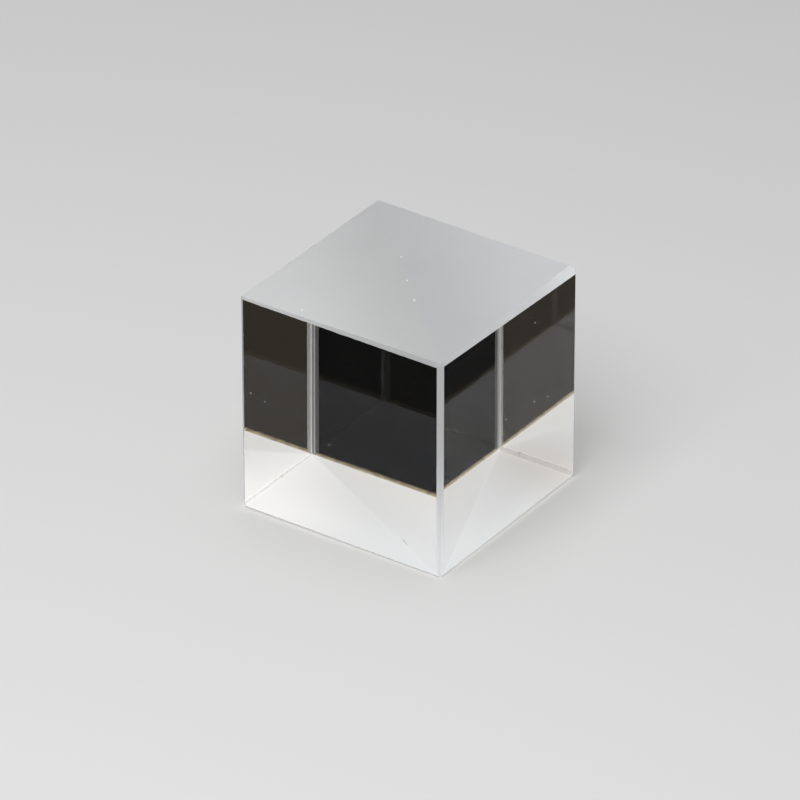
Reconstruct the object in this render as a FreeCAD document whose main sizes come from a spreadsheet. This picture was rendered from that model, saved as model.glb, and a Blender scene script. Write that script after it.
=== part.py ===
import FreeCAD, Part
import os
import Sketcher

# A cemented beamsplitter cube: two right-angle glass prisms joined on their long faces,
# with a thin splitter coating and a layer of optical cement between them.
# Millimetres. The cube stands on its ground base at Z = 0, centred on the Z axis.
# The polished sides face south (-Y), east (+X), north (+Y) and west (-X).
# The joint runs along the diagonal from the north-west edge to the south-east edge.

os.makedirs("parts", exist_ok=True)
doc = FreeCAD.newDocument("beamsplitter_cube")

# Driving dimensions. The bevels are ground by hand, so their legs differ along one edge.
DIMENSIONS = {
    "cube_edge": 12.7,
    "coating_film": 0.004,
    "cement_film": 0.012,
    "clearance": 1.0,
    "front_bevel": 0.265,
    "left_bevel": 0.32,
    "right_bevel": 0.30,
    "back_bevel_west": 0.16,
    "back_bevel_north": 0.37,
}

# Legs of the bevels along the top and the base: at the edge's start, then at its finish.
# South and north edges start in the east; east and west edges start in the south.
HORIZONTAL_BEVELS = {
    "top_south": (0.20, 0.09),
    "top_north": (0.30, 0.15),
    "top_east": (0.14, 0.40),
    "top_west": (0.15, 0.14),
    "base_south": (0.13, 0.22),
    "base_north": (0.20, 0.15),
    "base_east": (0.13, 0.18),
    "base_west": (0.10, 0.08),
}
for edge, (start_leg, finish_leg) in HORIZONTAL_BEVELS.items():
    DIMENSIONS[edge + "_start"] = start_leg
    DIMENSIONS[edge + "_finish"] = finish_leg

sheet = doc.addObject("Spreadsheet::Sheet", "Dims")
for row, (alias, value) in enumerate(DIMENSIONS.items(), start=1):
    sheet.set(f"A{row}", alias)
    sheet.set(f"B{row}", str(value))
    sheet.setAlias(f"B{row}", alias)
doc.recompute()

HALF = "Dims.cube_edge / 2"
DIAGONAL = "sqrt(2) * Dims.cube_edge"
JOINT = "(Dims.coating_film + Dims.cement_film)"


def origin_plane(body, role):
    """The body's own origin plane with that role."""
    return next(f for f in body.Origin.OriginFeatures if f.Role == role)


def sketch_outline(body, name, role, corners, offset=None, turn=0):
    """A closed outline of straight lines on an origin plane, each corner bound to two expressions.

    offset is an expression for the distance along the plane's normal, and turn is the
    angle in degrees by which the plane swings about its own upright axis.
    """
    sketch = body.newObject("Sketcher::SketchObject", name)
    sketch.AttachmentSupport = [(origin_plane(body, role), "")]
    sketch.MapMode = "FlatFace"
    upright = FreeCAD.Vector(0, 1, 0)
    sketch.AttachmentOffset = FreeCAD.Placement(FreeCAD.Vector(), FreeCAD.Rotation(upright, turn))
    if offset:
        sketch.setExpression(".AttachmentOffset.Base.z", offset)
    places = [FreeCAD.Vector(*[float(sheet.evalExpression(axis)) for axis in c], 0) for c in corners]
    for index, place in enumerate(places):
        sketch.addGeometry(Part.LineSegment(place, places[(index + 1) % len(places)]))
    for index in range(len(places)):
        sketch.addConstraint(Sketcher.Constraint("Coincident", index, 2, (index + 1) % len(places), 1))
    for index, (corner, place) in enumerate(zip(corners, places)):
        for kind, expression, value in zip(("DistanceX", "DistanceY"), corner, place):
            bind_corner(sketch, kind, index, expression, value)
    return sketch


def bind_corner(sketch, kind, index, expression, value):
    """Holds one coordinate of an outline's corner at an expression of the sheet."""
    if abs(value) < 1e-9:
        axis = -2 if kind == "DistanceX" else -1
        sketch.addConstraint(Sketcher.Constraint("PointOnObject", index, 1, axis))
        return
    if value > 0:
        constraint = Sketcher.Constraint(kind, -1, 1, index, 1, value)
    else:
        constraint = Sketcher.Constraint(kind, index, 1, -1, 1, -value)
        expression = f"-({expression})"
    number = sketch.addConstraint(constraint)
    sketch.setExpression(f"Constraints[{number}]", expression)


def pad(body, sketch, name, length, midplane=False):
    """A Pad of the sketch with its length bound to an expression."""
    feature = body.newObject("PartDesign::Pad", name)
    feature.Profile = sketch
    feature.Midplane = midplane
    feature.setExpression("Length", length)
    return feature


def grind_bevel(body, edge, role, level, side):
    """Cuts the bevel of one top or base edge with a pocket that widens along the edge.

    role is the origin plane across the edge, level is 1 for the top and 0 for the base,
    and side is 1 or -1 for the side of the axis that the edge is on.
    """
    up = 1 if level else -1
    height = f"{level} * Dims.cube_edge"
    leg, room = f"Dims.{edge}_start", "Dims.clearance"
    outside = f"{side} * ({HALF} + {room})"
    above = f"{height} + {up} * {room}"
    corners = [
        (f"{side} * ({HALF} - {leg} - {room})", above),
        (outside, f"{height} - {up} * ({leg} + {room})"),
        (outside, above),
    ]
    profile = sketch_outline(body, edge + "_profile", role, corners, HALF)
    before = body.Tip.Shape.Volume
    pocket = body.newObject("PartDesign::Pocket", edge + "_bevel")
    pocket.Profile = profile
    pocket.setExpression("Length", f"Dims.cube_edge + {room}")
    spread = f"(Dims.{edge}_finish - {leg}) / (sqrt(2) * Dims.cube_edge)"
    pocket.setExpression("TaperAngle", f"atan({spread})")
    doc.recompute()
    if not pocket.Shape.Volume < before:
        raise RuntimeError(f"the bevel {edge} cuts nothing")


def bevelled_block():
    """The whole cube as it is after cementing, with all twelve edges ground."""
    body = doc.addObject("PartDesign::Body", "bevelled_block")
    corners = [
        (f"{HALF} - Dims.front_bevel", f"-{HALF}"),
        (HALF, f"Dims.front_bevel - {HALF}"),
        (HALF, f"{HALF} - Dims.right_bevel"),
        (f"{HALF} - Dims.right_bevel", HALF),
        (f"Dims.back_bevel_north - {HALF}", HALF),
        (f"-{HALF}", f"{HALF} - Dims.back_bevel_west"),
        (f"-{HALF}", f"Dims.left_bevel - {HALF}"),
        (f"Dims.left_bevel - {HALF}", f"-{HALF}"),
    ]
    plan = sketch_outline(body, "block_plan", "XY_Plane", corners)
    pad(body, plan, "block_height", "Dims.cube_edge")
    doc.recompute()
    for level, tier in ((1, "top"), (0, "base")):
        grind_bevel(body, tier + "_south", "YZ_Plane", level, -1)
        grind_bevel(body, tier + "_north", "YZ_Plane", level, 1)
        grind_bevel(body, tier + "_east", "XZ_Plane", level, 1)
        grind_bevel(body, tier + "_west", "XZ_Plane", level, -1)
    return body


def half_region(name, side):
    """The triangular half of the block on one side of the joint, oversize on the outside."""
    body = doc.addObject("PartDesign::Body", name)
    reach = f"{side} * (Dims.cube_edge + Dims.clearance)"
    gap = f"{side} * {JOINT} / sqrt(2)"
    corners = [
        (f"{gap} - ({reach})", reach),
        (reach, f"{gap} - ({reach})"),
        (reach, reach),
    ]
    plan = sketch_outline(body, name + "_plan", "XY_Plane", corners)
    pad(body, plan, name + "_height", "Dims.cube_edge")
    return body


def film_region(name, thickness, middle):
    """A sheet standing on the diagonal, oversize at its ends; middle is its offset from the joint."""
    body = doc.addObject("PartDesign::Body", name)
    corners = [
        (f"-({DIAGONAL}) / 2", "0"),
        (f"{DIAGONAL} / 2", "0"),
        (f"{DIAGONAL} / 2", "Dims.cube_edge"),
        (f"-({DIAGONAL}) / 2", "Dims.cube_edge"),
    ]
    face = sketch_outline(body, name + "_face", "XZ_Plane", corners, turn=-45)
    pad(body, face, name + "_thickness", thickness, midplane=True)
    shift = f"({middle}) / sqrt(2)"
    body.setExpression(".Placement.Base.x", shift)
    body.setExpression(".Placement.Base.y", shift)
    return body


def cut_from_block(name, region):
    """A sub-part: what the ground block and the region have in common."""
    piece = doc.addObject("Part::Common", name)
    piece.Label = name
    piece.Base = block
    piece.Tool = region
    return piece


block = bevelled_block()
REGIONS = {
    "coated_prism": half_region("south_west_half", -1),
    "plain_prism": half_region("north_east_half", 1),
    "splitter_coating": film_region("coating_sheet", "Dims.coating_film", "-Dims.cement_film / 2"),
    "cement_layer": film_region("cement_sheet", "Dims.cement_film", "Dims.coating_film / 2"),
}
pieces = [cut_from_block(name, region) for name, region in REGIONS.items()]
doc.recompute()

failed = [o.Name for o in doc.Objects if "Invalid" in o.State or "Error" in o.State]
if failed:
    raise RuntimeError(f"these objects failed: {failed}")
for piece in pieces:
    if piece.Shape.isNull() or not piece.Shape.isValid() or len(piece.Shape.Solids) != 1:
        raise RuntimeError(f"{piece.Label} isn't one valid solid")
for piece in pieces:
    piece.Shape.exportStep(f"parts/{piece.Label}.step")
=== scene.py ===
import math

import bmesh
import bpy
from mathutils import Matrix, Vector, noise
from mathutils.geometry import delaunay_2d_cdt


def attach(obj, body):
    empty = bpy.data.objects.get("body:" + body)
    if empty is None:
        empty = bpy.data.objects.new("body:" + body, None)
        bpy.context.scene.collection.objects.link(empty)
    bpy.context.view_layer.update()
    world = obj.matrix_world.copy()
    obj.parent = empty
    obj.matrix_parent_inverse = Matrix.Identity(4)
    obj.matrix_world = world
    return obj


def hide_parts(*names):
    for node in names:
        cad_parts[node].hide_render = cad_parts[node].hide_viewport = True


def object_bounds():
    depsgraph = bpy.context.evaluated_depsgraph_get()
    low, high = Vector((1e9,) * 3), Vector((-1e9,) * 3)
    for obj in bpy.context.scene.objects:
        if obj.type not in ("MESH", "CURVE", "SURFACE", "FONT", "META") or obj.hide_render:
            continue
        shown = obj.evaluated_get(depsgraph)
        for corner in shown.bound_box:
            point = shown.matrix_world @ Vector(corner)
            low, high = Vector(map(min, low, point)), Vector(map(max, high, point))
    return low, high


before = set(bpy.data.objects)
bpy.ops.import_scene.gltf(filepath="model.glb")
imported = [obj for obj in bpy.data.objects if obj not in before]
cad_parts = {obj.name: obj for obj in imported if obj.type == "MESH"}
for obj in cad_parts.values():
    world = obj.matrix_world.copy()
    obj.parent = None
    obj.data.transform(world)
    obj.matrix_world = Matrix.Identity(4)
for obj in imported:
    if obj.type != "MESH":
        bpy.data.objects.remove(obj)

MM = 0.001
CAD_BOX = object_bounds()
LOW, HIGH = CAD_BOX
EDGE = HIGH.x - LOW.x
MIDDLE = (LOW + HIGH) / 2

# ---------------------------------------------------------------- the glass pieces
# A prism's faces, by what was done to them in the workshop. The numbers are its material slots.
POLISHED, GROUND, TOP_BEVEL, SIDE_BEVEL, BASE_BEVEL, JOINT, BROKEN = range(7)

# The cemented joint stands on the cube's upright diagonal plane. ACROSS points from the coated
# prism to the plain one, and ALONG lies in the joint, from the back edge to the front edge.
ACROSS = Vector((1, 1, 0)).normalized()
ALONG = Vector((1, -1, 0)).normalized()
COATED_SIDE, PLAIN_SIDE = -1, 1
# Two unit vectors are parallel when their product is over PARALLEL. A face is upright when its
# normal rises less than LEVEL.
PARALLEL, LEVEL = 0.9999, 0.01
# A joint face's middle is no further than this from the middle of the cube, across the joint.
JOINT_REACH = 0.1 * MM
# The joint face's inner part is smaller by this share and set back by this much.
JOINT_INSET, JOINT_CLEARANCE = 0.005, 0.002 * MM
# Places closer than WELD are one place, and faces that meet at less than FLAT_ANGLE are one face.
WELD, FLAT_ANGLE = 0.0001 * MM, math.radians(0.05)

# Grinding leaves the line between a bevel and a flat face broken by flakes. A line gets a point at
# each step, and a line of fewer than FEWEST_STEPS stays whole.
LINE_STEP, FEWEST_STEPS = 0.05 * MM, 4
# The small flakes' size along the line, and how much slower the large flakes change along it.
FLAKE_SIZE, LARGE_FLAKE_RATE = 0.15 * MM, 0.4
# How deep both kinds reach into the flat face. A large flake starts where its noise is above a level.
SMALL_FLAKE, LARGE_FLAKE, LARGE_FLAKE_START = 0.045 * MM, 0.10 * MM, 0.22
# The share of that depth on upright lines, on the other lines at the front, and on those at the back.
UPRIGHT_SHARE, FRONT_SHARE, BACK_SHARE = 0.3, 0.4, 1.2
# Flakes fade out over one part in LINE_ENDS at each end of a line.
LINE_ENDS = 6

# Nicks in the top and in the base, as (shares of the edge along and across the joint from the
# middle, radius, stretch along the joint). Most are beside the joint line.
TOP_NICKS = (
    (-0.200, 0.006, 0.050 * MM, 1.2),
    (-0.003, -0.007, 0.055 * MM, 1.5),
    (0.022, 0.004, 0.030 * MM, 1.0),
    (0.162, -0.008, 0.060 * MM, 1.2),
    (0.158, -0.470, 0.070 * MM, 1.0),
)
BASE_NICKS = (
    (-0.120, -0.005, 0.040 * MM, 1.5),
    (0.310, 0.005, 0.035 * MM, 1.2),
)

# Digs left in the polish, as (share across the face, share up it, radius), by the way it faces.
DIGS = {
    "south": ((-0.44, 0.565, 0.035 * MM), (-0.05, 0.450, 0.028 * MM), (0.305, 0.135, 0.025 * MM)),
    "east": ((0.18, 0.880, 0.040 * MM), (0.18, 0.507, 0.030 * MM), (-0.03, 0.525, 0.028 * MM)),
    "north": ((-0.31, 0.690, 0.036 * MM), (0.12, 0.330, 0.030 * MM)),
    "west": ((0.22, 0.770, 0.033 * MM), (-0.15, 0.415, 0.038 * MM)),
}
# A short scratch in the south face, low and near the front edge, with the slope of its line in degrees.
SCRATCH_PLACE = 0.3245, 0.115
SCRATCH_SIZE, SCRATCH_STRETCH, SCRATCH_SLOPE = 0.065 * MM, 3.0, -32

# Each hollow's depth is a share of its radius. Its rim is this uneven, over places this share of the
# radius apart.
NICK_DEPTH, DIG_DEPTH = 0.5, 0.35
RIM_POINTS, RIM_WOBBLE, WOBBLE_SIZE = 9, 0.35, 0.3

# What delaunay_2d_cdt is asked for: only the triangles inside the outline, and places this exact in mm.
INSIDE_ONLY, PLACE_TOLERANCE = 1, 1e-7


def kind_of(face):
    """How a flat face of a CAD prism was made."""
    middle = face.calc_center_median()
    if abs(face.normal.dot(ACROSS)) > PARALLEL and abs(middle.dot(ACROSS)) < JOINT_REACH:
        return JOINT
    if max(abs(face.normal.x), abs(face.normal.y)) > PARALLEL:
        return POLISHED
    if abs(face.normal.z) > PARALLEL:
        return GROUND
    if abs(face.normal.z) < LEVEL:
        return SIDE_BEVEL
    return TOP_BEVEL if face.normal.z > 0 else BASE_BEVEL


def cad_faces(cad_node):
    """The CAD node's mesh as whole flat faces."""
    solid = bmesh.new()
    solid.from_mesh(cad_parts[cad_node].data)
    bmesh.ops.remove_doubles(solid, verts=solid.verts, dist=WELD)
    bmesh.ops.dissolve_limit(solid, angle_limit=FLAT_ANGLE, verts=solid.verts, edges=solid.edges)
    solid.normal_update()
    return solid


def flake_depth(place, seed):
    """How far a ground line is broken away at this place, in metres."""
    at = place / FLAKE_SIZE
    small = max(0.0, noise.noise(at + Vector((seed, 0, 0))))
    large = max(0.0, noise.noise(at * LARGE_FLAKE_RATE + Vector((0, seed, 0))) - LARGE_FLAKE_START)
    return SMALL_FLAKE * small + LARGE_FLAKE * large


def broken_line(edge, kinds, seed):
    """Points along a CAD edge. Where a bevel meets a flat face, flakes move them into the flat face."""
    start, end = edge.verts[0].co.copy(), edge.verts[1].co.copy()
    faces = sorted(edge.link_faces, key=lambda face: kinds[face.index])
    types = [kinds[face.index] for face in faces]
    middle = (start + end) / 2
    count = int((end - start).length / LINE_STEP)
    if JOINT in types or types[1] in (POLISHED, GROUND) or types[0] > GROUND or count < FEWEST_STEPS:
        return [start, end]
    flat = faces[0]
    strength = FRONT_SHARE if middle.dot(ALONG) > 0 else BACK_SHARE
    if abs((end - start).normalized().z) > PARALLEL:
        strength = UPRIGHT_SHARE
    inward = flat.normal.cross(end - start).normalized()
    if inward.dot(flat.calc_center_median() - middle) < 0:
        inward.negate()
    points = [start]
    for i in range(1, count):
        share = i / count
        place = start.lerp(end, share)
        fade = min(1.0, LINE_ENDS * share, LINE_ENDS * (1 - share))
        points.append(place + inward * flake_depth(place, seed) * strength * fade)
    return points + [end]


def outline_of(face, lines):
    """The face's outline with its broken lines, in the order of its corners."""
    points = []
    for loop in face.loops:
        line = lines[loop.edge.index]
        starts_here = (line[0] - loop.vert.co).length < (line[-1] - loop.vert.co).length
        points += (line if starts_here else line[::-1])[:-1]
    return points


def hollow(centre, normal, radius, depth, stretch=1.0, way=None):
    """A shallow irregular hollow: its rim in the face, and its bottom under the middle."""
    way = way or normal.orthogonal().normalized()
    other = normal.cross(way)
    rim = []
    for i in range(RIM_POINTS):
        turn = 2 * math.pi * i / RIM_POINTS
        wobble = 1 + RIM_WOBBLE * noise.noise((centre + way * i * radius) / (WOBBLE_SIZE * radius))
        spread = way * math.cos(turn) * stretch + other * math.sin(turn)
        rim.append(centre + spread * radius * wobble)
    return rim, centre - normal * radius * depth


def nicks_on(face, side):
    """Hollows in a prism's top or base face."""
    hollows = []
    for along, across, radius, stretch in TOP_NICKS if face.normal.z > 0 else BASE_NICKS:
        if across * side > 0:
            centre = (ALONG * along + ACROSS * across) * EDGE
            centre.z = face.verts[0].co.z
            hollows.append(hollow(centre, face.normal, radius, NICK_DEPTH, stretch, ALONG))
    return hollows


def place_on(face, across, up):
    """The place on an upright face at these shares of the edge from its middle and from the base."""
    sideways = Vector((abs(face.normal.y), abs(face.normal.x), 0)) * across * EDGE
    return face.normal * EDGE / 2 + sideways + Vector((0, 0, LOW.z + up * EDGE))


def digs_on(face):
    """Hollows in a polished face."""
    names = {(0, -1): "south", (1, 0): "east", (0, 1): "north", (-1, 0): "west"}
    facing = names[round(face.normal.x), round(face.normal.y)]
    hollows = [hollow(place_on(face, across, up), face.normal, radius, DIG_DEPTH)
               for across, up, radius in DIGS[facing]]
    if facing == "south":
        slope = math.radians(SCRATCH_SLOPE)
        way = Vector((math.cos(slope), 0, math.sin(slope)))
        place = place_on(face, *SCRATCH_PLACE)
        hollows.append(hollow(place, face.normal, SCRATCH_SIZE, DIG_DEPTH, SCRATCH_STRETCH, way))
    return hollows


def hollows_on(face, kind, side):
    """A flat face's digs or nicks, each as its rim and its bottom."""
    if kind == POLISHED:
        return digs_on(face)
    if kind == GROUND:
        return nicks_on(face, side)
    return []


def set_back(outline, side):
    """The joint face's inner part, set back so that it and the film beside it don't share a plane."""
    middle = sum(outline, Vector()) / len(outline)
    return [point.lerp(middle, JOINT_INSET) + ACROSS * side * JOINT_CLEARANCE for point in outline]


class Shell:
    """Vertices and triangles of a refined prism, with one vertex for each place."""

    def __init__(self):
        self.places, self.found, self.triangles, self.kinds = [], {}, [], []

    def vertex(self, place):
        """The number of the vertex at this place."""
        key = tuple(round(c / WELD) for c in place)
        if key not in self.found:
            self.found[key] = len(self.places)
            self.places.append(place)
        return self.found[key]

    def add_face(self, normal, outline, kind, inner=(), bottoms=(), inner_kind=BROKEN):
        """Triangulates a flat face whose inner outlines and bottoms may lie beside its plane."""
        across = normal.orthogonal().normalized()
        up = normal.cross(across)
        points = [*outline, *(p for loop in inner for p in loop), *bottoms]
        flat = [Vector((p.dot(across), p.dot(up))) / MM for p in points]
        loops, first = [], 0
        for loop in (outline, *inner):
            loops.append(list(range(first, first + len(loop))))
            first += len(loop)
        _, _, triangles, point_sources, _, face_sources = delaunay_2d_cdt(
            flat, [], loops, INSIDE_ONLY, PLACE_TOLERANCE)
        for triangle, sources in zip(triangles, face_sources):
            self.triangles.append([self.vertex(points[point_sources[i][0]]) for i in triangle])
            self.kinds.append(inner_kind if max(sources) > 0 else kind)


def refined(cad_node, name, side, seed):
    """A finer copy of a CAD prism: its own flat faces, with broken ground lines, nicks and digs."""
    source = cad_faces(cad_node)
    kinds = {face.index: kind_of(face) for face in source.faces}
    lines = {edge.index: broken_line(edge, kinds, seed) for edge in source.edges}
    shell = Shell()
    for face in source.faces:
        kind, outline = kinds[face.index], outline_of(face, lines)
        if kind == JOINT:
            shell.add_face(face.normal, outline, kind, [set_back(outline, side)], inner_kind=JOINT)
        else:
            hollows = hollows_on(face, kind, side)
            shell.add_face(face.normal, outline, kind, [rim for rim, _ in hollows],
                           [bottom for _, bottom in hollows])
    source.free()
    mesh = bpy.data.meshes.new(name)
    mesh.from_pydata(shell.places, [], shell.triangles)
    for material in GLASS_FINISHES:
        mesh.materials.append(material)
    mesh.polygons.foreach_set("material_index", shell.kinds)
    mesh.update()
    piece = bpy.data.objects.new(name, mesh)
    bpy.context.scene.collection.objects.link(piece)
    return piece


# ---------------------------------------------------------------- materials
CROWN_GLASS_INDEX = 1.517
# How finely the noises of the ground glass, of its worn spots, of the handled polish and of the
# fresh breaks are scaled, per metre.
GRAIN_SCALE, CLOUD_SCALE, SPOT_SCALE = 22000.0, 420.0, 3500.0
HAZE_SCALE, RIDGE_SCALE = 300.0, 60000.0

# The middle part of a noise's range, where most of it lies.
NOISE_LOW, NOISE_HIGH = 0.3, 0.7

# Over which places a tint goes from the back side's to the front's, on the coated prism from west to east
# and on the plain one from north to south. This change is painted shade of how much light reaches each
# part. JOINT_BLEND is the reach of the change at the joint, from one prism's tint to the other's, which
# also differ by painted shade.
BACK, COATED_FRONT, PLAIN_FRONT = -0.5 * EDGE, 0.12 * EDGE, -0.15 * EDGE
JOINT_BLEND = 0.03 * EDGE

# Painted light on ground glass from outside: it is painted paler away from the joint, where more light
# comes up from inside, over this reach and by this range. Side bevels are painted paler towards the bright
# base, below this height. Each prism's white is a little cool.
PAINTED_GLOW_REACH, PAINTED_GLOW_LEAST, PAINTED_GLOW_MOST = 0.6 * EDGE, -0.09, 0.10
PAINTED_FOOT_LIGHT_HEIGHT = 0.72 * EDGE
COATED_WARMTH, PLAIN_WARMTH = -0.010, -0.018


def new_material(name):
    """A material without nodes, and its tree."""
    material = bpy.data.materials.new(name)
    material.use_nodes = True
    material.node_tree.nodes.clear()
    return material, material.node_tree


def node(tree, kind, inputs=None, **settings):
    """Adds a node. inputs gives each input a value or links it to a socket."""
    made = tree.nodes.new(kind)
    for key, value in settings.items():
        setattr(made, key, value)
    for key, value in (inputs or {}).items():
        if isinstance(value, bpy.types.NodeSocket):
            tree.links.new(value, made.inputs[key])
        else:
            made.inputs[key].default_value = value
    return made


def maths(tree, operation, *values):
    """The result of a sum on sockets and numbers."""
    return node(tree, "ShaderNodeMath", dict(enumerate(values)), operation=operation).outputs[0]


def along_axis(tree, vector, axis):
    """How far a vector socket reaches along a fixed axis."""
    made = node(tree, "ShaderNodeVectorMath", {0: vector, 1: tuple(axis)}, operation="DOT_PRODUCT")
    return made.outputs["Value"]


def blend(tree, share, first, second, kind="RGBA"):
    """A mix of two colours (or two numbers, with kind FLOAT) by a share from 0 to 1."""
    slots = (6, 7, 2) if kind == "RGBA" else (2, 3, 0)
    made = node(tree, "ShaderNodeMix", {0: share, slots[0]: first, slots[1]: second}, data_type=kind)
    return made.outputs[slots[2]]


def mixed_shader(tree, share, first, second):
    """Two shaders, mixed by the share that the second one has."""
    return node(tree, "ShaderNodeMixShader", {0: share, 1: first, 2: second}).outputs[0]


def smooth_step(tree, value, low, high, to_low, to_high):
    """The value's way from low to high, smoothed and laid on the way from to_low to to_high."""
    made = node(tree, "ShaderNodeMapRange", {
        "Value": value, "From Min": low, "From Max": high, "To Min": to_low, "To Max": to_high},
        interpolation_type="SMOOTHSTEP")
    return made.outputs[0]


def lamp_light_passes(tree, shader, entering, leaving):
    """Lets lamps shine straight through a glass face, so that what is inside is lit without noise.

    entering and leaving are the shares of light that pass the face from outside and from inside.
    """
    inside = node(tree, "ShaderNodeNewGeometry").outputs["Backfacing"]
    share = blend(tree, inside, entering, leaving, "FLOAT")
    clear = node(tree, "ShaderNodeBsdfTransparent", {"Color": share}).outputs[0]
    lamp_ray = node(tree, "ShaderNodeLightPath").outputs["Is Shadow Ray"]
    return mixed_shader(tree, lamp_ray, shader, clear)


def finish_output(tree, shader):
    """Makes the shader the surface of the material."""
    node(tree, "ShaderNodeOutputMaterial", {"Surface": shader})


def polished_glass():
    """Clear crown glass with a faint haze of handling."""
    material, tree = new_material("polished_glass")
    place = node(tree, "ShaderNodeTexCoord").outputs["Object"]
    haze = node(tree, "ShaderNodeTexNoise", {
        "Vector": place, "Scale": HAZE_SCALE, "Detail": 3.0}).outputs[0]
    glass = node(tree, "ShaderNodeBsdfPrincipled", {
        "Base Color": (1, 1, 1, 1), "IOR": CROWN_GLASS_INDEX, "Transmission Weight": 1.0,
        "Specular Tint": (0.48, 0.49, 0.56, 1),
        "Roughness": smooth_step(tree, haze, 0.45, 0.75, 0.0, 0.02)})
    finish_output(tree, lamp_light_passes(tree, glass.outputs[0], entering=0.6, leaving=0.97))
    return material


def ground_grain(tree):
    """The fine grain of the ground surface, and slow clouds in it, both from 0 to 1."""
    place = node(tree, "ShaderNodeTexCoord").outputs["Object"]
    grain = node(tree, "ShaderNodeTexNoise", {
        "Vector": place, "Scale": GRAIN_SCALE, "Detail": 3.0, "Roughness": 0.65})
    clouds = node(tree, "ShaderNodeTexNoise", {"Vector": place, "Scale": CLOUD_SCALE, "Detail": 2.0})
    return grain.outputs[0], clouds.outputs[0]


def prism_tint_and_painted_shade(tree, coated, plain):
    """A tint for each prism. Each is two colours, the first at its back side and the second in front; the
    change between them is painted shade.

    The coated prism's back side is the west one, and the plain prism's is the north one.
    """
    place = node(tree, "ShaderNodeNewGeometry").outputs["Position"]
    east = smooth_step(tree, along_axis(tree, place, (1, 0, 0)), BACK, COATED_FRONT, 0.0, 1.0)
    south = smooth_step(tree, along_axis(tree, place, (0, -1, 0)), BACK, PLAIN_FRONT, 0.0, 1.0)
    side = smooth_step(tree, along_axis(tree, place, ACROSS), -JOINT_BLEND, JOINT_BLEND, 0.0, 1.0)
    return blend(tree, side, blend(tree, east, *coated), blend(tree, south, *plain))


def grey(level, warmth=0.0):
    """A grey with a share more red and less blue, or less red and more blue below zero."""
    return level * (1 + warmth), level, level * (1 - 1.5 * warmth), 1


def outer_white_and_painted_light(tree, coated, plain, clouds, grain, painted_foot_light):
    """The white of ground glass from outside, with painted light: painted paler away from the joint, where
    more light comes up from inside, and painted paler towards the foot by the given share, as light from
    the bright base.

    Each prism's white is two levels, at its back side and in front, and the change between them is painted
    shade.
    """
    place = node(tree, "ShaderNodeNewGeometry").outputs["Position"]
    off_joint = maths(tree, "ABSOLUTE", along_axis(tree, place, ACROSS))
    # Painted light: the white is made paler away from the joint and towards the foot.
    paler = smooth_step(tree, off_joint, 0.0, PAINTED_GLOW_REACH, PAINTED_GLOW_LEAST, PAINTED_GLOW_MOST)
    height = along_axis(tree, place, (0, 0, 1))
    lower = smooth_step(tree, height, LOW.z, LOW.z + PAINTED_FOOT_LIGHT_HEIGHT, painted_foot_light, 0.0)
    fine = smooth_step(tree, grain, NOISE_LOW, NOISE_HIGH, 0.94, 0.99)
    grainy = maths(tree, "MULTIPLY_ADD", clouds, 0.05, fine)
    grain_and_painted_glow = maths(tree, "ADD", maths(tree, "ADD", paler, lower), grainy)
    coated_whites = [grey(level, COATED_WARMTH) for level in coated]
    plain_whites = [grey(level, PLAIN_WARMTH) for level in plain]
    tint = prism_tint_and_painted_shade(tree, coated_whites, plain_whites)
    return node(tree, "ShaderNodeVectorMath", {0: tint, "Scale": grain_and_painted_glow}, operation="SCALE").outputs[0]


def worn_grinding(tree, colour):
    """The colour, darkened in ragged spots."""
    place = node(tree, "ShaderNodeTexCoord").outputs["Object"]
    spots = node(tree, "ShaderNodeTexNoise", {
        "Vector": place, "Scale": SPOT_SCALE, "Detail": 3.0}).outputs[0]
    dark = tuple(0.4 * c for c in colour[:3]) + (1,)
    return blend(tree, smooth_step(tree, spots, 0.42, 0.62, 0.0, 1.0), colour, dark)


# The fine ground glass: its white from outside, and the tints of the light that each prism turns back
# inside. Each prism has a value at its back side and one in front. The change from back to front, and the
# plain prism's greyer inside, are painted shade.
GROUND_WHITE_AND_PAINTED_SHADE = (0.622, 0.61), (0.617, 0.605)
GROUND_COATED_AND_PAINTED_SHADE = grey(0.98, -0.006), grey(0.83, -0.025)
GROUND_PLAIN_AND_PAINTED_SHADE = grey(0.80, 0.012), grey(0.87, -0.025)
GROUND_KEPT, GROUND_LETS_OUT = 0.36, (0.50, 0.41, 0.25, 1)


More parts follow.
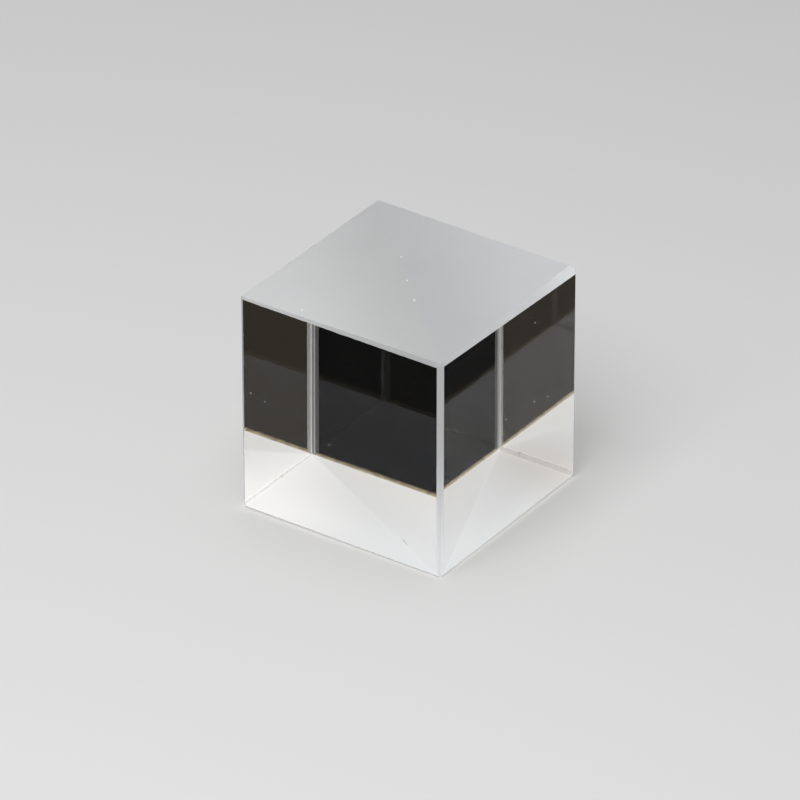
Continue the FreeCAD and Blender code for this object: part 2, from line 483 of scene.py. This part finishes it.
def ground_shader(tree, white=GROUND_WHITE_AND_PAINTED_SHADE, painted_foot_light=0.0, grain_depth=0.006 * MM, lit_within=0.0,
                  coated=GROUND_COATED_AND_PAINTED_SHADE, plain=GROUND_PLAIN_AND_PAINTED_SHADE, kept=GROUND_KEPT, head_on=None,
                  let_out=GROUND_LETS_OUT):
    """Ground glass.

    From outside it scatters light by its white, with painted light from the bright base that makes it paler
    at the foot by the given share, and shows a blurred hint of the inside. A share lit_within of what it
    shows is light that is scattered on its way out.
    From inside it turns light back at a slant by the tints of the coated and the plain prism, whose change
    from back to front is painted shade. Met head on, it keeps only the share kept, in the head_on colour,
    and passes the rest on by let_out.
    """
    grain, clouds = ground_grain(tree)
    bump = node(tree, "ShaderNodeBump", {
        "Strength": 0.3, "Distance": grain_depth, "Height": grain}).outputs[0]
    outside = node(tree, "ShaderNodeBsdfPrincipled", {
        "Base Color": outer_white_and_painted_light(tree, *white, clouds, grain, painted_foot_light),
        "Roughness": smooth_step(tree, grain, NOISE_LOW, NOISE_HIGH, 0.42, 0.52),
        "IOR": CROWN_GLASS_INDEX, "Transmission Weight": 0.3, "Normal": bump}).outputs[0]
    come_through = node(tree, "ShaderNodeBsdfTranslucent", {"Color": (1, 1, 1, 1)}).outputs[0]
    outside = mixed_shader(tree, lit_within, outside, come_through)

    facing = node(tree, "ShaderNodeLayerWeight", {"Blend": 0.5}).outputs["Facing"]
    slant = smooth_step(tree, facing, 0.10, 0.36, 0.0, 1.0)
    tint = prism_tint_and_painted_shade(tree, coated, plain)
    if head_on:
        tint = blend(tree, slant, worn_grinding(tree, head_on), tint)
    scattered = node(tree, "ShaderNodeBsdfDiffuse", {"Color": tint, "Normal": bump}).outputs[0]
    passed_on = node(tree, "ShaderNodeBsdfTranslucent", {"Color": let_out}).outputs[0]
    turned_back = blend(tree, slant, kept, 1.0, "FLOAT")
    inside = mixed_shader(tree, turned_back, passed_on, scattered)

    within = node(tree, "ShaderNodeNewGeometry").outputs["Backfacing"]
    return lamp_light_passes(tree, mixed_shader(tree, within, outside, inside), entering=0.35, leaving=0.7)


def ground_glass():
    """The fine-ground top and base."""
    material, tree = new_material("ground_glass")
    finish_output(tree, ground_shader(tree))
    return material


def ground_top_bevel():
    """The narrow bevels of the top, with painted shade: painted darker on the coated prism and paler on the
    plain one, for how the light falls on them.
    """
    material, tree = new_material("ground_top_bevel")
    finish_output(tree, ground_shader(tree, white=((0.43, 0.42), (0.80, 0.66)), grain_depth=0.009 * MM))
    return material


def ground_side_bevel():
    """The upright bevels, ground coarser and whiter, with painted light that makes them paler towards the
    bright base.
    """
    material, tree = new_material("ground_side_bevel")
    white, inner = (0.67, 0.67), (grey(0.80), grey(0.80))
    # Painted light: the bevels are painted paler towards the bright base.
    finish_output(tree, ground_shader(
        tree, white=(white, white), painted_foot_light=0.55, grain_depth=0.012 * MM, kept=0.25, coated=inner, plain=inner,
        let_out=(0.40, 0.385, 0.35, 1)))
    return material


def ground_base_bevel():
    """The bevels of the base, with the brownish cast of worn grinding when they are met head on."""
    material, tree = new_material("ground_base_bevel")
    white = 0.70, 0.70
    # Painted shade: the inside tints, darkest at the plain prism's back, change from back to front by how
    # much light reaches each part.
    finish_output(tree, ground_shader(
        tree, white=(white, white), grain_depth=0.012 * MM, head_on=(0.97, 0.82, 0.53, 1),
        coated=(grey(0.97), grey(0.90)), plain=(grey(0.62, 0.01), grey(0.86, -0.01)),
        let_out=(0.50, 0.40, 0.20, 1), lit_within=0.9))
    return material


def broken_glass():
    """The fresh break of a nick or a dig: white from scattering, painted brighter as the glints of its
    facets, and painted lighter on its ridges.
    """
    material, tree = new_material("broken_glass")
    place = node(tree, "ShaderNodeTexCoord").outputs["Object"]
    ridges = node(tree, "ShaderNodeTexNoise", {
        "Vector": place, "Scale": RIDGE_SCALE, "Detail": 2.0}).outputs[0]
    bump = node(tree, "ShaderNodeBump", {
        "Strength": 0.6, "Distance": 0.01 * MM, "Height": ridges}).outputs[0]
    # Painted highlight: the break's white is brightened to stand for its glints, and lighter on the ridges
    # of its bump.
    colour = blend(tree, ridges, (0.55, 0.55, 0.56, 1), (0.80, 0.80, 0.81, 1))
    scattered = node(tree, "ShaderNodeBsdfDiffuse", {"Color": colour, "Normal": bump}).outputs[0]
    finish_output(tree, lamp_light_passes(tree, scattered, entering=0.35, leaving=0.97))
    return material


def clear_shader(tree):
    """Lets all light straight through."""
    return node(tree, "ShaderNodeBsdfTransparent", {"Color": (1, 1, 1, 1)}).outputs[0]


def joint_face():
    """Glass against cement of the same index: light is neither bent nor mirrored."""
    material, tree = new_material("joint_face")
    finish_output(tree, clear_shader(tree))
    return material


# Across the joint, the film's face beside the coated prism lies below this, and its other face above.
FIRST_FACE = -0.006 * MM


def half_mirror_shader(tree):
    """The splitter film, which mirrors part of the light and keeps a little. One wide face does it all."""
    mirror = node(tree, "ShaderNodeBsdfGlossy", {
        "Color": (0.97, 0.97, 0.97, 1), "Roughness": 0.0}).outputs[0]
    passed = node(tree, "ShaderNodeBsdfTransparent", {"Color": (0.97, 0.97, 0.96, 1)}).outputs[0]
    slant = node(tree, "ShaderNodeLayerWeight", {"Blend": 0.5}).outputs["Facing"]
    share = smooth_step(tree, slant, 0.0, 1.0, 0.45, 0.55)
    place = node(tree, "ShaderNodeNewGeometry").outputs["Position"]
    first_face = maths(tree, "LESS_THAN", along_axis(tree, place, ACROSS), FIRST_FACE)
    film = lamp_light_passes(tree, mixed_shader(tree, share, passed, mirror), entering=1.0, leaving=1.0)
    return mixed_shader(tree, first_face, clear_shader(tree), film)


def film_material(name, wide_face_shader):
    """A film in the joint: its own shader on its two wide faces, ground glass on its cut rim."""
    material, tree = new_material(name)
    normal = node(tree, "ShaderNodeNewGeometry").outputs["Normal"]
    facing = maths(tree, "ABSOLUTE", along_axis(tree, normal, ACROSS))
    wide = maths(tree, "GREATER_THAN", facing, 0.9)
    white = 0.65, 0.65
    rim = ground_shader(tree, white=(white, white), kept=0.12, let_out=(0.30, 0.29, 0.27, 1))
    finish_output(tree, mixed_shader(tree, wide, rim, wide_face_shader(tree)))
    return material


GLASS_FINISHES = (polished_glass(), ground_glass(), ground_top_bevel(), ground_side_bevel(),
                  ground_base_bevel(), joint_face(), broken_glass())


# ---------------------------------------------------------------- the pieces

def add_prism(cad_node, side, seed):
    """A refined prism in place of the CAD's. The seed places its flakes."""
    piece = refined(cad_node, cad_node + "_glass", side, seed)
    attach(piece, "root")
    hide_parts(cad_node)


add_prism("coated_prism", COATED_SIDE, seed=11.3)
add_prism("plain_prism", PLAIN_SIDE, seed=19.0)
for cad_node, shader in (("splitter_coating", half_mirror_shader), ("cement_layer", clear_shader)):
    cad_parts[cad_node].material_slots[0].material = film_material(cad_node, shader)

# ---------------------------------------------------------------- floor, light and camera
# Angles in degrees, azimuth 0 from the south. The lens and the sensor's width are in millimetres.
CAMERA_AZIMUTH, CAMERA_ELEVATION = 34.5, 30.35
CAMERA_DISTANCE = 34.0 * EDGE
LENS, SENSOR = 372.6, 36
# How far the camera is moved to its right and up.
FRAMING = -0.0360 * EDGE, -0.0547 * EDGE
NEAREST_SEEN, FURTHEST_SEEN = EDGE, 400 * EDGE

FLOOR_REACH = 14 * EDGE
FLOOR_GAP = 0.0005 * MM
# The strength of the backdrop that the camera sees, and of the room's light on what isn't clear.
BACKDROP, ROOM_LIGHT = 0.75, 0.15
# What glass sees instead: its strength in the joint's plane, how much it gains square to that plane,
# how much it leans to one side of it, its warm colour, and how fast it gets warm.
DARK, DARK_GAIN, DARK_LEAN = 0.0035, 0.0185, -0.0042
WARM, WARM_SHARE = (1, 0.88, 0.68, 1), 0.7

scene = bpy.context.scene


def direction(azimuth, elevation):
    """The unit vector towards a place at this azimuth and elevation, in degrees. Azimuth 0 is south."""
    a, e = math.radians(azimuth), math.radians(elevation)
    return Vector((math.sin(a) * math.cos(e), -math.cos(a) * math.cos(e), math.sin(e)))


def stage_floor():
    """A plain pale floor. Glass doesn't show it, because the glass is to look into dark surroundings."""
    corners = [(x * FLOOR_REACH, y * FLOOR_REACH, 0) for x, y in ((-1, -1), (1, -1), (1, 1), (-1, 1))]
    mesh = bpy.data.meshes.new("floor")
    mesh.from_pydata(corners, [], [(0, 1, 2, 3)])
    material, tree = new_material("pale_floor")
    finish_output(tree, node(tree, "ShaderNodeBsdfDiffuse", {"Color": (0.62, 0.62, 0.62, 1)}).outputs[0])
    mesh.materials.append(material)
    floor = bpy.data.objects.new("floor", mesh)
    floor.location.z = LOW.z - FLOOR_GAP
    floor.visible_transmission = False
    floor.visible_glossy = False
    scene.collection.objects.link(floor)


def dark_surroundings(tree):
    """What the glass shows of the room: dark, and lighter and warmer away from the joint's plane."""
    way = node(tree, "ShaderNodeTexCoord").outputs["Generated"]
    lean = along_axis(tree, way, (1, 1, 0))
    square = maths(tree, "MULTIPLY", lean, lean)
    wide = maths(tree, "MULTIPLY_ADD", square, DARK_GAIN, DARK)
    dim = maths(tree, "MULTIPLY_ADD", lean, DARK_LEAN, wide)
    colour = blend(tree, maths(tree, "MULTIPLY", square, WARM_SHARE), (1, 1, 1, 1), WARM)
    return node(tree, "ShaderNodeBackground", {"Color": colour, "Strength": dim}).outputs[0]


def stage_world():
    """An even pale backdrop and room light, and the dark surroundings that only glass sees."""
    world = bpy.data.worlds.new("studio")
    scene.world = world
    world.use_nodes = True
    tree = world.node_tree
    tree.nodes.clear()
    path = node(tree, "ShaderNodeLightPath").outputs
    backdrop = node(tree, "ShaderNodeBackground", {"Color": (1, 1, 1, 1), "Strength": BACKDROP}).outputs[0]
    room = node(tree, "ShaderNodeBackground", {"Color": (1, 1, 1, 1), "Strength": ROOM_LIGHT}).outputs[0]
    unseen = mixed_shader(tree, path["Is Diffuse Ray"], dark_surroundings(tree), room)
    light = mixed_shader(tree, path["Is Camera Ray"], unseen, backdrop)
    node(tree, "ShaderNodeOutputWorld", {"Surface": light})


def softbox(name, azimuth, elevation, distance, width, watts):
    """A square soft light that faces the cube. The glass doesn't mirror it. Lengths are in edges."""
    lamp = bpy.data.lights.new(name, "AREA")
    lamp.shape = "SQUARE"
    lamp.size = width * EDGE
    lamp.energy = watts
    light = bpy.data.objects.new(name, lamp)
    back = direction(azimuth, elevation)
    light.location = MIDDLE + back * distance * EDGE
    light.rotation_mode = "QUATERNION"
    light.rotation_quaternion = back.to_track_quat("Z", "Y")
    light.visible_glossy = False
    light.visible_transmission = False
    scene.collection.objects.link(light)


def stage_camera():
    """The camera at the photograph's angle, with the cube a little off the middle of the picture."""
    back = direction(CAMERA_AZIMUTH, CAMERA_ELEVATION)
    right = direction(CAMERA_AZIMUTH + 90, 0)
    up = back.cross(right)
    data = bpy.data.cameras.new("camera")
    data.lens, data.sensor_width = LENS, SENSOR
    data.clip_start, data.clip_end = NEAREST_SEEN, FURTHEST_SEEN
    camera = bpy.data.objects.new("camera", data)
    camera.location = MIDDLE + right * FRAMING[0] + up * FRAMING[1] + back * CAMERA_DISTANCE
    camera.rotation_mode = "QUATERNION"
    camera.rotation_quaternion = Matrix((right, up, back)).transposed().to_quaternion()
    scene.collection.objects.link(camera)
    scene.camera = camera


stage_floor()
stage_world()
softbox("overhead_softbox", azimuth=0, elevation=88, distance=22, width=16, watts=0.25)
softbox("front_softbox", azimuth=8, elevation=56, distance=22, width=14, watts=0.75)
stage_camera()
scene.view_settings.view_transform = "Standard"
scene.cycles.transparent_max_bounces = 48
scene.cycles.max_bounces = 24
scene.cycles.transmission_bounces = 24
scene.cycles.glossy_bounces = 16
scene.cycles.diffuse_bounces = 6
